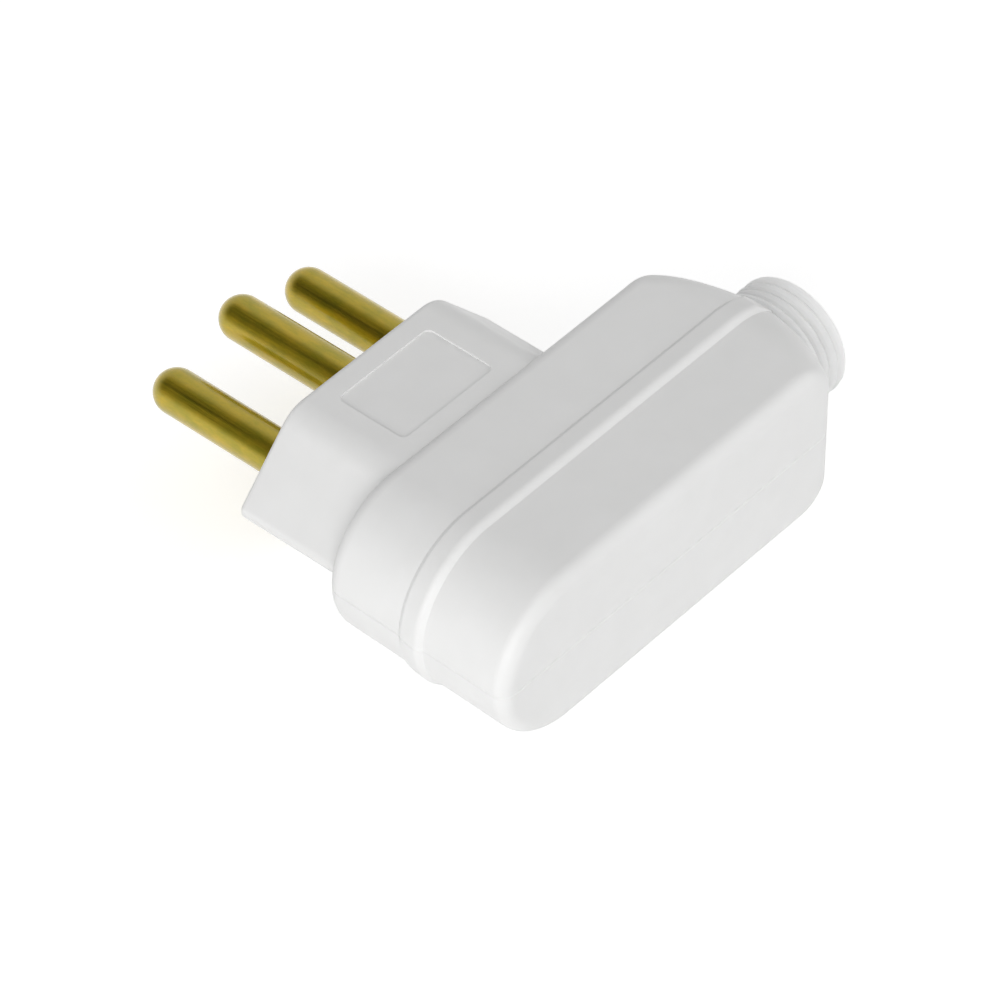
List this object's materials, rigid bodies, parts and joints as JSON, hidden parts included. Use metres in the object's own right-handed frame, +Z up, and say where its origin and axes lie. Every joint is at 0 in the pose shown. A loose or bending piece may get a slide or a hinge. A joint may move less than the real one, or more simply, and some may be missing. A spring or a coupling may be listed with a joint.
{
  "type": "earthed power plug",
  "caption": "Rewireable earthed mains plug: moulded split-shell body across a six-sided neck, round brass pins, and a ringed cable gland at one side.",
  "frame": {"origin": "on the engagement face, midway between the line and neutral pins", "axes": "+Y along the pins and out of their tips, +X towards the cable gland, +Z up, on the earth pin's side"},
  "size_m": [0.0567, 0.0536, 0.0194],
  "materials": {
    "shell_plastic": "satin white moulding",
    "gland_plastic": "satin white moulding",
    "grip_plastic": "satin white moulding",
    "pin_brass": "turned, lightly dulled",
    "clamp_brass": "stamped",
    "screw_steel": "zinc plated"
  },
  "bodies": {
    "root": {"cable_gland": "gland_plastic", "case_screw_far": "screw_steel", "case_screw_near": "screw_steel", "cord_grip": "grip_plastic", "cord_grip_screw_back": "screw_steel", "cord_grip_screw_front": "screw_steel", "earth_clamp_plate": "clamp_brass", "earth_pin": "pin_brass", "earth_terminal_screw": "screw_steel", "line_clamp_plate": "clamp_brass", "line_pin": "pin_brass", "line_terminal_screw": "screw_steel", "lower_shell": "shell_plastic", "neutral_clamp_plate": "clamp_brass", "neutral_pin": "pin_brass", "neutral_terminal_screw": "screw_steel", "upper_shell": "shell_plastic"}
  },
  "joints": []
}
